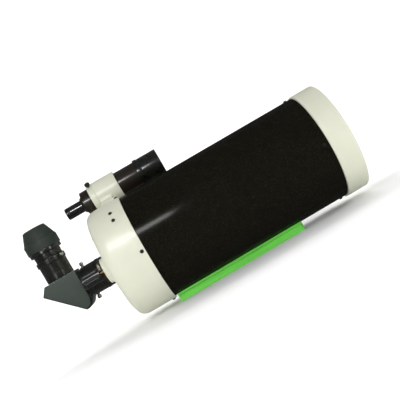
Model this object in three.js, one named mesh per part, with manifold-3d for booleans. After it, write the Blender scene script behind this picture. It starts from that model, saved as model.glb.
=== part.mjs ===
// A Maksutov-Cassegrain telescope with a 180 mm aperture, as it is used for observing: the
// optical tube, a 2 inch mirror diagonal and eyepiece at the back, a 9x50 finder in its
// bracket and a dovetail bar underneath. Millimetres, +Z up. +X runs along the optical axis
// towards the sky, and the origin is the centre of the dovetail bar's bottom face.
import * as THREE from 'three';
import { mergeVertices } from 'three/addons/utils/BufferGeometryUtils.js';
import Module from 'manifold-3d';

const wasm = await Module();
wasm.setup();

// ---------- driving dimensions ----------
const GAP = 0.3; // between neighbouring pieces
const AXIS_HEIGHT = 120; // optical axis above the bar's bottom face

const TUBE = { radius: 105, wall: 2.5, socket: 15 }; // socket: length held inside the casting
const SEAM = { rear: -137.3, front: 234.1 }; // where the tube's paint meets the two castings
const RING = { radius: 108, front: 278.3, spigot: 16, edge: 3.5, mouth: 98.5 };
const CASTING = { radius: 108.5, back: -212.8, fillet: 22, floor: -202.2, bore: 24.3, inner: 99 };
const CORRECTOR = { radius: 93, centreRear: 226.8, centre: 18, curve: 262, seat: 91 };
const BAFFLE = { radius: 22, wall: 1.5, front: -30, flange: 30 };
const PRIMARY = { radius: 94, back: -167, thickness: 22, curve: 950, hole: 31 };
const CARRIER = { bore: 22.3, hub: 30.7, rear: -190, flange: 8, flangeRadius: 88, nut: 7 };

const FOCUS = { y: -60, z: 1, boss: 24, bossHeight: 8.6, shaft: 3, bushing: 7 };
const KNOB = { radius: 12.3, rear: -268.4, front: -231.1, flutes: 8, flute: 1.2, bore: 11 };

const BARREL = 25.3; // radius of a 2 inch barrel
const SOCKET = 25.7; // radius of the sockets that take it
const BACK = { radius: 29.3, flange: 32, spigot: 27, rear: -267.4, split: -237.6, step: -229.7 };
const BACK_SCREW_X = -261.6;

const FOLD = -306; // where the light path turns up, at the middle of the diagonal's mirror
const DIAGONAL = { half: 30, plate: 2.7, path: 23, mirror: 9, front: 38.3, top: 31.2 };
const HOLDER = { radius: 27, collar: 29, collarFrom: 64.8, top: 74.3, floor: 42 };
const EYEPIECE = { body: 26.5, shoulder: 86, ring: 31.3, cupFrom: 93.2, cupTop: 137, sleeve: 20 };
const EYECUP = { radius: 33.2, shoulder: 112.6 };

const FINDER = { lean: 30, distance: 153.6, tube: 25.5, wall: 1.8 }; // lean: degrees from vertical
const BRACKET = { rear: -189.1, front: -128.8, radius: 30.4, bore: 27.4, pivot: -136, screws: -183 };
const SHOE = { rear: -180, front: -143.5, half: 22, floor: 112.5, top: 121 };
const CELL = { rear: -207.1, radius: 25.1, front: -85, collar: 28.4, shield: 27.2, mouth: -34.4 };

const BAR = { half: 133, foot: 22, neck: 18.6, wing: 24.5, neckAt: 10.6, wingAt: 13.6, screw: 100 };

const ROUND = { large: 48, medium: 24, small: 16, screw: 8 }; // facets round a turned piece

// ---------- materials ----------
const finish = (color, roughness, metalness = 0) =>
  new THREE.MeshStandardMaterial({ color, roughness, metalness });
const FINISH = {
  cream: finish(0xe6e4cf, 0.45),
  tube: finish(0x17120f, 0.25),
  green: finish(0x4fbf2f, 0.4, 0.6),
  black: finish(0x151716, 0.4),
  slate: finish(0x48524b, 0.55),
  rubber: finish(0x2c312d, 0.8),
  chrome: finish(0xd8dad8, 0.2, 1),
  steel: finish(0x1c1d1d, 0.35, 0.7),
  brass: finish(0xb59a5a, 0.3, 1),
  glass: finish(0x9fc4b4, 0.05),
  mirror: finish(0xf2f4f4, 0.03, 1),
};

// ---------- shapes ----------
const X = new THREE.Vector3(1, 0, 0);
const radians = THREE.MathUtils.degToRad;

// Merges shared vertices, drops collapsed triangles and turns the faces outwards.
function closedGeometry(source) {
  const bare = source.clone();
  bare.deleteAttribute('normal');
  bare.deleteAttribute('uv');
  const merged = mergeVertices(bare, 1e-4);
  const at = merged.getAttribute('position');
  const [a, b, c] = [new THREE.Vector3(), new THREE.Vector3(), new THREE.Vector3()];
  const faces = [];
  let volume = 0;
  for (let i = 0; i < merged.index.count; i += 3) {
    const [p, q, r] = [0, 1, 2].map((k) => merged.index.getX(i + k));
    if (p === q || q === r || r === p) continue;
    faces.push([p, q, r]);
    volume += a.fromBufferAttribute(at, p).dot(
      b.fromBufferAttribute(at, q).cross(c.fromBufferAttribute(at, r)));
  }
  merged.setIndex(faces.flatMap(([p, q, r]) => (volume < 0 ? [p, r, q] : [p, q, r])));
  return merged;
}

// A turned piece about +X. The profile is a list of [x, radius]. It starts and ends on the
// axis, or it is closed back onto its first point.
function turned(profile, facets = ROUND.medium) {
  const points = profile.map(([x, r]) => new THREE.Vector2(r, x));
  if (profile[0][1] > 0) points.push(points[0].clone());
  return closedGeometry(new THREE.LatheGeometry(points, facets).rotateZ(-Math.PI / 2));
}

const cylinder = (from, to, radius, facets) =>
  turned([[from, 0], [from, radius], [to, radius], [to, 0]], facets);

const sleeve = (from, to, outer, inner, facets) =>
  turned([[from, inner], [from, outer], [to, outer], [to, inner]], facets);

// Points of an arc in the profile plane: centre, radius, and start and end angles in degrees
// from +x towards +radius.
function arc(x, r, radius, from, to, steps = 4) {
  return Array.from({ length: steps + 1 }, (_, i) => {
    const angle = radians(from + ((to - from) * i) / steps);
    return [x + radius * Math.cos(angle), r + radius * Math.sin(angle)];
  });
}

// The profile of a spherical face: x at the axis, curve radius (positive when the rim lies
// further along +x) and the rim's radius.
function sphericalFace(x, curve, rim, steps = 3) {
  return Array.from({ length: steps + 1 }, (_, i) => {
    const r = (rim * i) / steps;
    return [x + curve - Math.sign(curve) * Math.sqrt(curve * curve - r * r), r];
  });
}

const lens = (rear, rearCurve, front, frontCurve, rim, facets) =>
  turned([
    ...sphericalFace(rear, rearCurve, rim),
    ...sphericalFace(front, frontCurve, rim).reverse(),
  ], facets);

// A prism whose outline is a list of [across, up] points, running along +X.
function prism(outline, from, to) {
  const shape = new THREE.Shape(outline.map(([y, z]) => new THREE.Vector2(y, z)));
  const geometry = new THREE.ExtrudeGeometry(shape, { depth: to - from, bevelEnabled: false });
  geometry.applyMatrix4(new THREE.Matrix4().makeBasis(
    new THREE.Vector3(0, 1, 0), new THREE.Vector3(0, 0, 1), X));
  return closedGeometry(geometry.translate(from, 0, 0));
}

// A plate whose outline lies in the XZ plane, between two values of y.
function plate(outline, from, to) {
  const shape = new THREE.Shape(outline.map(([x, z]) => new THREE.Vector2(x, z)));
  const geometry = new THREE.ExtrudeGeometry(shape, { depth: to - from, bevelEnabled: false });
  return closedGeometry(geometry.rotateX(Math.PI / 2).translate(0, to, 0));
}

const block = ([x0, y0, z0], [x1, y1, z1]) =>
  closedGeometry(new THREE.BoxGeometry(x1 - x0, y1 - y0, z1 - z0)
    .translate((x0 + x1) / 2, (y0 + y1) / 2, (z0 + z1) / 2));

// Turns a geometry made about +X to point along a direction, and moves it to a position.
function aimed(geometry, direction, position = [0, 0, 0]) {
  const turn = new THREE.Quaternion().setFromUnitVectors(X, new THREE.Vector3(...direction));
  return geometry.clone().applyQuaternion(turn).translate(...position);
}

function solid(geometry) {
  return new wasm.Manifold(new wasm.Mesh({
    numProp: 3,
    vertProperties: new Float32Array(geometry.getAttribute('position').array),
    triVerts: new Uint32Array(geometry.index.array),
  }));
}

function geometryOf(manifold) {
  const mesh = manifold.getMesh();
  const geometry = new THREE.BufferGeometry();
  geometry.setAttribute('position', new THREE.BufferAttribute(mesh.vertProperties, 3));
  geometry.setIndex(new THREE.BufferAttribute(mesh.triVerts, 1));
  return geometry;
}

const cut = (body, ...tools) =>
  geometryOf(tools.reduce((left, tool) => left.subtract(solid(tool)), solid(body)));
const join = (...bodies) =>
  geometryOf(bodies.map(solid).reduce((left, right) => left.add(right)));
const overlap = (a, b) => geometryOf(solid(a).intersect(solid(b)));

// ---------- the object ----------
const telescope = new THREE.Group();
const ota = new THREE.Group(); // everything that is placed from the optical axis
ota.position.z = AXIS_HEIGHT;
const diagonal = new THREE.Group(); // placed from the fold in the light path
diagonal.position.x = FOLD;
const finder = new THREE.Group(); // placed from the optical axis, leaning to the far side
finder.rotation.x = radians(-FINDER.lean);
const finderAxis = new THREE.Group();
finderAxis.position.z = FINDER.distance;
telescope.add(ota);
ota.add(diagonal, finder);
finder.add(finderAxis);

function add(group, name, geometry, material) {
  const mesh = new THREE.Mesh(geometry, material);
  mesh.name = name;
  group.add(mesh);
}

// ---------- screws ----------
const SMALL_SCREW = { head: 3.5, height: 2.2, shank: 1.6, hole: 1.95 };
const THUMB_SCREW = { head: 4, shank: 2, hole: 2.3 };

// A dome-headed screw about +X: the head stands on x = 0 and the shank runs to -length.
const domeScrew = (length) => turned([
  [-length, 0], [-length, SMALL_SCREW.shank], [0, SMALL_SCREW.shank], [0, SMALL_SCREW.head],
  [SMALL_SCREW.height * 0.55, SMALL_SCREW.head * 0.85], [SMALL_SCREW.height, 0],
], ROUND.screw);

// A thumbscrew about +X: shank from -length to 0, then the knurled head.
const thumbScrew = (length, height, head = THUMB_SCREW.head, shank = THUMB_SCREW.shank) => turned([
  [-length, 0], [-length, shank], [0, shank], [0, head * 0.8], [0.6, head],
  [height - 0.6, head], [height, head * 0.85], [height, 0],
], ROUND.screw);

const QUARTERS = { top: [0, 0, 1], bottom: [0, 0, -1], near: [0, -1, 0], far: [0, 1, 0] };
const CASTING_SCREW_X = SEAM.rear - 6.5;
const RING_SCREW_X = SEAM.front - 10;

// Holes for four radial screws, as tools for cutting.
const screwHoles = (x, from, to) => Object.values(QUARTERS).map((direction) =>
  aimed(cylinder(from, to, SMALL_SCREW.hole, ROUND.screw), direction, [x, 0, 0]));

function radialScrews(name, x, seat, length) {
  for (const [side, direction] of Object.entries(QUARTERS)) {
    const place = [x, direction[1] * seat, direction[2] * seat];
    add(ota, `${name}_${side}`, aimed(domeScrew(length), direction, place), FINISH.steel);
  }
}

// ---------- optical tube ----------
const tubeInner = TUBE.radius - TUBE.wall;
const tubeRear = SEAM.rear - TUBE.socket;
const holeDepth = [90, 115];

add(ota, 'tube', cut(
  sleeve(tubeRear, SEAM.front - GAP, TUBE.radius, tubeInner, ROUND.large),
  ...screwHoles(CASTING_SCREW_X, ...holeDepth),
  ...screwHoles(RING_SCREW_X, ...holeDepth),
), FINISH.tube);

const spigotRadius = tubeInner - GAP;
const rise = (curve, radius) => curve - Math.sqrt(curve ** 2 - radius ** 2);
const lensSeat = CORRECTOR.centreRear + rise(CORRECTOR.curve, CORRECTOR.seat) - GAP;
const lensFront = CORRECTOR.centreRear + rise(CORRECTOR.curve, CORRECTOR.radius) + CORRECTOR.centre;
add(ota, 'front_ring', cut(turned([
  [SEAM.front - RING.spigot, 96],
  [SEAM.front - RING.spigot, spigotRadius],
  [SEAM.front, spigotRadius],
  [SEAM.front, RING.radius],
  ...arc(RING.front - RING.edge, RING.radius - RING.edge, RING.edge, 90, 0, 3),
  [RING.front, RING.mouth + 2],
  [RING.front - 3, RING.mouth],
  [lensFront + 5.5, CORRECTOR.radius + 2],
  [lensFront + 5.5, CORRECTOR.radius + GAP],
  [lensSeat, CORRECTOR.radius + GAP],
  [lensSeat, CORRECTOR.seat],
  [SEAM.front + 2, CORRECTOR.seat],
], ROUND.large), ...screwHoles(RING_SCREW_X, ...holeDepth)), FINISH.cream);

add(ota, 'corrector_lens', lens(
  CORRECTOR.centreRear, CORRECTOR.curve,
  CORRECTOR.centreRear + CORRECTOR.centre, CORRECTOR.curve,
  CORRECTOR.radius, ROUND.large,
), FINISH.glass);
add(ota, 'corrector_retainer',
  sleeve(lensFront + GAP, lensFront + 4.5, CORRECTOR.radius, 89, ROUND.large), FINISH.black);

// The baffle round the mirrored spot in the middle of the corrector's inner face.
add(ota, 'secondary_baffle', turned([
  [192, 29], [192, 30.2], [CORRECTOR.centreRear - GAP, 26.5], [CORRECTOR.centreRear - GAP, 25.3],
], ROUND.medium), FINISH.black);

const castingProfile = [
  [SEAM.rear, TUBE.radius + GAP],
  [SEAM.rear, CASTING.radius],
  ...arc(CASTING.back + CASTING.fillet, CASTING.radius - CASTING.fillet, CASTING.fillet, 90, 180, 5),
  [CASTING.back, CASTING.bore],
  [CASTING.floor, CASTING.bore],
  [CASTING.floor, CASTING.inner - 14],
  [CASTING.floor + 14, CASTING.inner],
  [tubeRear - GAP, CASTING.inner],
  [tubeRear - GAP, TUBE.radius + GAP],
];
const focusAt = [0, FOCUS.y, FOCUS.z];
const focusBoss = turned([
  [CASTING.back - FOCUS.bossHeight, 0],
  [CASTING.back - FOCUS.bossHeight, FOCUS.boss - 1.5],
  [CASTING.back - FOCUS.bossHeight + 1.5, FOCUS.boss],
  [CASTING.back + 2, FOCUS.boss],
  [CASTING.back + 2, 0],
], ROUND.medium).translate(...focusAt);
const focusHole = cylinder(
  CASTING.back - 20, CASTING.floor + 5, FOCUS.bushing + GAP, ROUND.small).translate(...focusAt);

// Two screws on the near side fill the holes of a second finder position.
const SPARE_SCREW = { x: SEAM.rear - 24.4, upper: 52.4, lower: 41.5 };
const spareDirection = (degrees) => [0, -Math.cos(radians(degrees)), Math.sin(radians(degrees))];
const spareHole = (degrees) => aimed(
  cylinder(102, 115, SMALL_SCREW.hole, ROUND.screw), spareDirection(degrees), [SPARE_SCREW.x, 0, 0]);

// Three screws on the back tilt the mirror cell.
const COLLIMATION = { circle: 70, first: 0, count: 3 };
const collimationPlace = (i) => {
  const angle = radians(COLLIMATION.first + (i * 360) / COLLIMATION.count);
  return [CASTING.back, COLLIMATION.circle * Math.cos(angle), COLLIMATION.circle * Math.sin(angle)];
};
const collimationHoles = Array.from({ length: COLLIMATION.count }, (_, i) =>
  cylinder(-5, 7, 2.6, ROUND.screw).translate(...collimationPlace(i)));

add(ota, 'rear_casting', cut(
  join(turned(castingProfile, ROUND.large), focusBoss),
  focusHole,
  ...screwHoles(CASTING_SCREW_X, ...holeDepth),
  spareHole(SPARE_SCREW.upper),
  spareHole(SPARE_SCREW.lower),
  ...collimationHoles,
), FINISH.cream);

radialScrews('casting_screw', CASTING_SCREW_X, CASTING.radius + GAP, 7.5);
radialScrews('ring_screw', RING_SCREW_X, TUBE.radius + GAP, 7);
for (const level of ['upper', 'lower']) {
  const direction = spareDirection(SPARE_SCREW[level]);
  const seat = CASTING.radius + GAP;
  const place = [SPARE_SCREW.x, direction[1] * seat, direction[2] * seat];
  add(ota, `spare_screw_${level}`, aimed(domeScrew(5.5), direction, place), FINISH.steel);
}
for (let i = 0; i < COLLIMATION.count; i += 1) {
  const [x, y, z] = collimationPlace(i);
  const screw = turned([
    [-7, 0], [-7, 2.2], [0, 2.2], [0, 5], [2.6, 5], [3.2, 4.4], [3.2, 2], [1.2, 2], [1.2, 0],
  ], ROUND.screw);
  add(ota, `collimation_screw_${i + 1}`, aimed(screw, [-1, 0, 0], [x - GAP, y, z]), FINISH.steel);
}

// ---------- dovetail bar ----------
// The top is hollowed to the tube's curve, and a groove under its wings makes the neck.
const barTop = AXIS_HEIGHT - TUBE.radius - GAP;
const barOutline = [
  [-BAR.foot + 1, 0], [BAR.foot - 1, 0], [BAR.foot, 1.2], [BAR.neck, BAR.neckAt],
  [BAR.neck, BAR.neckAt + 1], [BAR.wing, BAR.wingAt], [BAR.wing, barTop + 4],
  [-BAR.wing, barTop + 4], [-BAR.wing, BAR.wingAt], [-BAR.neck, BAR.neckAt + 1],
  [-BAR.neck, BAR.neckAt], [-BAR.foot, 1.2],
];
const BAR_SCREW = { head: 4.7, shank: 3, under: 5.7, tip: 14, hex: 2.4, hexDepth: 2.4, sink: 0.8 };
const barScrewHole = (x) => aimed(turned([
  [-2, 0], [-2, BAR_SCREW.head + 0.5], [BAR_SCREW.under + GAP, BAR_SCREW.head + 0.5],
  [BAR_SCREW.under + GAP, BAR_SCREW.shank + GAP], [20, BAR_SCREW.shank + GAP], [20, 0],
], ROUND.screw), [0, 0, 1], [x, 0, 0]);
const tubeBed = cylinder(-BAR.half - 5, BAR.half + 5, TUBE.radius + GAP, ROUND.large)
  .translate(0, 0, AXIS_HEIGHT);
add(telescope, 'dovetail_bar', cut(
  prism(barOutline, -BAR.half, BAR.half), tubeBed, barScrewHole(BAR.screw), barScrewHole(-BAR.screw),
), FINISH.green);
for (const [end, x] of [['front', BAR.screw], ['rear', -BAR.screw]]) {
  const screw = turned([
    [BAR_SCREW.sink + BAR_SCREW.hexDepth, 0], [BAR_SCREW.sink + BAR_SCREW.hexDepth, BAR_SCREW.hex],
    [BAR_SCREW.sink, BAR_SCREW.hex], [BAR_SCREW.sink, BAR_SCREW.head],
    [BAR_SCREW.under, BAR_SCREW.head], [BAR_SCREW.under, BAR_SCREW.shank],
    [BAR_SCREW.tip, BAR_SCREW.shank], [BAR_SCREW.tip, 0],
  ], ROUND.screw);
  add(telescope, `dovetail_screw_${end}`, aimed(screw, [0, 0, 1], [x, 0, 0]), FINISH.steel);
}

// ---------- primary mirror and focuser ----------
const baffleRear = CASTING.floor + GAP;
add(ota, 'baffle_tube', turned([
  [baffleRear, BAFFLE.radius - BAFFLE.wall], [baffleRear, BAFFLE.flange],
  [baffleRear + 3.5, BAFFLE.flange], [baffleRear + 3.5, BAFFLE.radius],
  [BAFFLE.front, BAFFLE.radius], [BAFFLE.front, BAFFLE.radius - BAFFLE.wall],
]), FINISH.black);

const mirrorFace = sphericalFace(0, PRIMARY.curve, PRIMARY.radius).filter(([, r]) => r > PRIMARY.hole);
const mirrorEdge = mirrorFace[mirrorFace.length - 1][0];
add(ota, 'primary_mirror', turned([
  [PRIMARY.back, PRIMARY.hole],
  [PRIMARY.back, PRIMARY.radius],
  ...mirrorFace.reverse().map(([x, r]) => [PRIMARY.back + PRIMARY.thickness + x - mirrorEdge, r]),
  [PRIMARY.back + PRIMARY.thickness - mirrorEdge, PRIMARY.hole],
], ROUND.large), FINISH.mirror);

const carrierFront = PRIMARY.back - GAP;
add(ota, 'mirror_carrier', cut(
  join(
    turned([
      [CARRIER.rear, CARRIER.bore], [CARRIER.rear, CARRIER.hub],
      [carrierFront - CARRIER.flange, CARRIER.hub],
      [carrierFront - CARRIER.flange, CARRIER.flangeRadius],
      [carrierFront, CARRIER.flangeRadius], [carrierFront, CARRIER.hub],
      [PRIMARY.back + PRIMARY.thickness, CARRIER.hub],
      [PRIMARY.back + PRIMARY.thickness, CARRIER.bore],
    ], ROUND.large),
    cylinder(CARRIER.rear - 1, carrierFront - 4, CARRIER.nut, ROUND.small).translate(...focusAt),
  ),
  cylinder(CARRIER.rear - 5, carrierFront + 5, FOCUS.shaft + GAP, ROUND.small).translate(...focusAt),
), FINISH.black);

const bossFace = CASTING.back - FOCUS.bossHeight;
add(ota, 'focus_bushing', turned([
  [KNOB.front + GAP, FOCUS.shaft + GAP], [KNOB.front + GAP, FOCUS.bushing - 1],
  [bossFace - 3, FOCUS.bushing - 1], [bossFace - 3, FOCUS.bushing + 2],
  [bossFace - GAP, FOCUS.bushing + 2], [bossFace - GAP, FOCUS.bushing],
  [CASTING.floor, FOCUS.bushing], [CASTING.floor, FOCUS.shaft + GAP],
], ROUND.small).translate(...focusAt), FINISH.brass);
add(ota, 'focus_shaft', cylinder(
  KNOB.front - KNOB.bore + GAP, -178, FOCUS.shaft, ROUND.small).translate(...focusAt), FINISH.steel);

// The knob's waist carries lengthwise flutes between two plain bands. One faces the near side.
function flutedKnob() {
  const facets = KNOB.flutes * 6;
  const waist = [KNOB.rear + 8, KNOB.front - 5];
  const geometry = new THREE.LatheGeometry([
    [KNOB.rear, 0], [KNOB.rear, KNOB.radius - 3], [KNOB.rear + 3, KNOB.radius - 0.6],
    [KNOB.rear + 5, KNOB.radius], [waist[0], KNOB.radius], [waist[1], KNOB.radius],
    [KNOB.front - 2, KNOB.radius], [KNOB.front, KNOB.radius - 1],
    [KNOB.front, FOCUS.shaft + GAP], [KNOB.front - KNOB.bore, FOCUS.shaft + GAP],
    [KNOB.front - KNOB.bore, 0],
  ].map(([x, r]) => new THREE.Vector2(r, x)), facets).rotateZ(-Math.PI / 2);
  const at = geometry.getAttribute('position');
  for (let i = 0; i < at.count; i += 1) {
    const [x, y, z] = [at.getX(i), at.getY(i), at.getZ(i)];
    const inWaist = x > waist[0] - 0.1 && x < waist[1] + 0.1 && Math.hypot(y, z) > KNOB.radius / 2;
    const deep = Math.cos(Math.atan2(y, z) * KNOB.flutes) > 0;
    const shrink = inWaist && deep ? 1 - KNOB.flute / KNOB.radius : 1;
    at.setXYZ(i, x, y * shrink, z * shrink);
  }
  return closedGeometry(geometry);
}
add(ota, 'focus_knob', flutedKnob().translate(...focusAt), FINISH.black);

// ---------- visual back ----------
const backFront = CASTING.back - GAP;
add(ota, 'visual_back_adapter', turned([
  [BACK.split - 4.6, SOCKET], [BACK.split - 4.6, BACK.spigot], [BACK.step, BACK.spigot],
  [BACK.step, BACK.radius], [backFront - 4, BACK.radius], [backFront - 4, BACK.flange],
  [backFront, BACK.flange], [backFront, SOCKET],
]), FINISH.black);
add(ota, 'visual_back_ring', sleeve(
  BACK.split + GAP, BACK.step - GAP, BACK.radius + 0.6, BACK.spigot + GAP), FINISH.chrome);
const screwHole = (direction, position) => aimed(
  cylinder(20, 40, THUMB_SCREW.hole, ROUND.screw), direction, position);
add(ota, 'visual_back_receiver', cut(turned([
  [BACK.rear, SOCKET], [BACK.rear, BACK.radius - 0.8], [BACK.rear + 0.8, BACK.radius],
  [BACK.split - GAP, BACK.radius], [BACK.split - GAP, BACK.spigot + GAP],
  [BACK.split - 5, BACK.spigot + GAP], [BACK.split - 5, SOCKET],
]), screwHole(QUARTERS.top, [BACK_SCREW_X, 0, 0]), screwHole(QUARTERS.bottom, [BACK_SCREW_X, 0, 0]),
), FINISH.black);
for (const side of ['top', 'bottom']) {
  const seat = BACK.radius + 1.2;
  const screw = thumbScrew(seat - BARREL - GAP, 7.8);
  const up = QUARTERS[side][2];
  add(ota, `visual_back_screw_${side}`,
    aimed(screw, QUARTERS[side], [BACK_SCREW_X, 0, up * seat]), FINISH.chrome);
}

// ---------- diagonal ----------
const nose = { rear: 32.5, front: 85.8 }; // along x from the fold
add(diagonal, 'diagonal_nosepiece', turned([
  [nose.rear, 22.5], [nose.rear, BARREL], [nose.front - 1, BARREL],
  [nose.front, BARREL - 1], [nose.front, 22.5],
]), FINISH.black);

// Outline of the diagonal's side in x and z. Its long edge runs at 45 degrees behind the mirror.
const backEdge = -24.1; // x + z along that edge
const sideOutline = [
  [31.8, DIAGONAL.top], [-30.7, DIAGONAL.top], [-40.9, backEdge + 40.9],
  [17, backEdge - 17], [26.4, -38.9], [31.8, -25.6],
];
// The body between the plates stands proud of their long edge and has a web below the collar.
const bodyOutline = [
  [31.8, DIAGONAL.top], [-30.7, DIAGONAL.top], [-42.7, 15.5], [16, -43.2],
  [21.5, -43.4], [28.5, -40.4], [35.6, -31.6], [35.6, -20], [31.8, -20],
];
const inside = DIAGONAL.half - DIAGONAL.plate - GAP;
const diagonalBody = plate(bodyOutline, -inside, inside);
// Everything on the light's side of a 45 degree plane, a given distance in front of the mirror.
const ahead = (distance) => {
  const shift = distance * Math.SQRT2;
  return plate([[-80 + shift, 80], [80 + shift, -80], [160, 160]], -40, 40);
};

const flare = turned([
  [20, 0], [20, 26.5], [32.1, 26.5], [32.1, 29.5], [DIAGONAL.front, 27], [DIAGONAL.front, 0],
]);
const lightPath = join(
  cylinder(-60, 60, DIAGONAL.path),
  cylinder(nose.rear - GAP, 60, BARREL + GAP),
  aimed(cylinder(-60, 60, DIAGONAL.path), [0, 0, 1]),
);
const housing = overlap(join(diagonalBody, flare), ahead(GAP));
add(diagonal, 'diagonal_housing', cut(housing, lightPath), FINISH.black);

const slab = (half, width, from, to) => block([-to, -width, -half], [-from, width, half])
  .rotateY(radians(-45));
add(diagonal, 'diagonal_mirror', slab(35, 25.5, GAP, DIAGONAL.mirror), FINISH.mirror);
add(diagonal, 'diagonal_mirror_cover', cut(
  diagonalBody, ahead(-GAP), slab(35 + GAP, 25.5 + GAP, -5, DIAGONAL.mirror + GAP),
), FINISH.black);
for (const [side, y] of [['near', -DIAGONAL.half], ['far', DIAGONAL.half - DIAGONAL.plate]]) {
  add(diagonal, `diagonal_side_plate_${side}`,
    plate(sideOutline, y, y + DIAGONAL.plate), FINISH.slate);
}

// Pieces on the eyepiece's axis are turned about +X and stand on end.
const upright = (geometry) => aimed(geometry, [0, 0, 1]);
const clamp = { x: Math.cos(radians(40)), y: -Math.sin(radians(40)), z: 69.2 };
add(diagonal, 'diagonal_eyepiece_holder', cut(
  upright(turned([
    [DIAGONAL.top + GAP, DIAGONAL.path], [DIAGONAL.top + GAP, HOLDER.radius],
    [HOLDER.collarFrom, HOLDER.radius], [HOLDER.collarFrom, HOLDER.collar],
    [HOLDER.top - 0.8, HOLDER.collar], [HOLDER.top, HOLDER.collar - 0.8],
    [HOLDER.top, SOCKET], [HOLDER.floor, SOCKET], [HOLDER.floor, DIAGONAL.path],
  ])),
  screwHole([clamp.x, clamp.y, 0], [0, 0, clamp.z]),
), FINISH.black);
const clampSeat = HOLDER.collar + 0.8;
add(diagonal, 'diagonal_clamp_screw', aimed(
  thumbScrew(clampSeat - BARREL - GAP, 7),
  [clamp.x, clamp.y, 0], [clampSeat * clamp.x, clampSeat * clamp.y, clamp.z],
), FINISH.chrome);

// ---------- eyepiece ----------
const bodyFrom = HOLDER.top + GAP;
add(diagonal, 'eyepiece_barrel', upright(turned([
  [HOLDER.floor + 2, 23.5], [HOLDER.floor + 2, BARREL], [bodyFrom - GAP, BARREL],
  [bodyFrom - GAP, 24], [bodyFrom + 9, 24], [bodyFrom + 9, 22], [56.5, 22], [56.5, 23.5],
])), FINISH.chrome);
add(diagonal, 'eyepiece_field_lens', upright(
  lens(48, 90, 56, -90, 23.2)), FINISH.glass);
add(diagonal, 'eyepiece_body', upright(turned([
  [bodyFrom, 24.3], [bodyFrom, EYEPIECE.body - 0.5], [bodyFrom + 0.5, EYEPIECE.body],
  [EYEPIECE.shoulder, EYEPIECE.body], [EYEPIECE.shoulder, EYEPIECE.sleeve],
  [127, EYEPIECE.sleeve], [127, 15.6], [119, 15.6], [119, 13.5], [bodyFrom + 9.3, 13.5],
  [bodyFrom + 9.3, 24.3],
])), FINISH.black);
add(diagonal, 'eyepiece_eye_lens', upright(
  lens(119.9, 60, 125.5, -60, 15.3, ROUND.small)), FINISH.glass);
add(diagonal, 'eyepiece_ring', upright(sleeve(
  EYEPIECE.shoulder + GAP, EYEPIECE.cupFrom - GAP, EYEPIECE.ring, EYEPIECE.sleeve + GAP,
)), FINISH.black);
add(diagonal, 'eyepiece_eyecup', upright(turned([
  [EYEPIECE.cupFrom, EYEPIECE.sleeve + GAP], [EYEPIECE.cupFrom, EYECUP.radius - 0.9],
  [EYEPIECE.cupFrom + 1, EYECUP.radius], [EYECUP.shoulder, EYECUP.radius],
  [EYECUP.shoulder + 0.8, EYECUP.radius - 1.6], [131.5, 24.6], [135, 23.6], [136.6, 22.8],
  [EYEPIECE.cupTop, 21.6],
  [EYEPIECE.cupTop, 19.8], [136, 18.6], [127.6, 17], [127.3, EYEPIECE.sleeve + GAP],
])), FINISH.rubber);

// ---------- finder shoe, bracket and screws ----------
// In this group z is the distance from the optical axis, and y runs across the shoe.
const KEY = { floor: 16.2, top: 13.5 }; // half widths of the dovetail key on the bracket's foot
const channelSide = 0.3; // clearance beside the key
const channel = [
  [-KEY.floor - channelSide, SHOE.floor], [KEY.floor + channelSide, SHOE.floor],
  [KEY.top + channelSide, SHOE.top + 2], [-KEY.top - channelSide, SHOE.top + 2],
];
const CLAMP = { x: -152, height: 116.5, head: 4.2, shank: 1.6, hole: 1.9, length: 5.4, top: 7 };
add(finder, 'finder_shoe', cut(
  block([SHOE.rear, -SHOE.half, 104], [SHOE.front, SHOE.half, SHOE.top]),
  cylinder(SHOE.rear - 5, SHOE.front + 5, CASTING.radius + GAP, ROUND.large),
  prism(channel, SHOE.rear - 5, SHOE.front + 5),
  aimed(cylinder(KEY.top, SHOE.half + 5, CLAMP.hole, ROUND.screw),
    QUARTERS.far, [CLAMP.x, 0, CLAMP.height]),
), FINISH.cream);
add(finder, 'shoe_clamp_screw', aimed(
  thumbScrew(CLAMP.length, CLAMP.top, CLAMP.head, CLAMP.shank),
  QUARTERS.far, [CLAMP.x, SHOE.half + GAP, CLAMP.height],
), FINISH.steel);

// The foot is a dovetail key in the shoe, with a wider and shorter neck up to the sleeve.
const NECK = { rear: -176, front: -151, half: 19, join: 22 }; // join: distance below the finder's axis
const key = prism([
  [-KEY.floor, SHOE.floor + GAP], [KEY.floor, SHOE.floor + GAP],
  [KEY.top, SHOE.top + 0.6], [-KEY.top, SHOE.top + 0.6],
], SHOE.rear, SHOE.front).translate(0, 0, -FINDER.distance);
const neck = block(
  [NECK.rear, -NECK.half, SHOE.top + 0.5], [NECK.front, NECK.half, FINDER.distance - NECK.join],
).translate(0, 0, -FINDER.distance);
const bracketSleeve = turned([
  [BRACKET.rear, 0], [BRACKET.rear, BRACKET.radius - 2.2], [BRACKET.rear + 0.7, BRACKET.radius - 1.5],
  [BRACKET.rear + 11.5, BRACKET.radius - 1], [BRACKET.rear + 14, BRACKET.radius],
  [BRACKET.front - 1, BRACKET.radius], [BRACKET.front, BRACKET.radius - 1], [BRACKET.front, 0],
]);
const bracketBore = cylinder(BRACKET.rear - 5, BRACKET.front + 5, BRACKET.bore);
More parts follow.
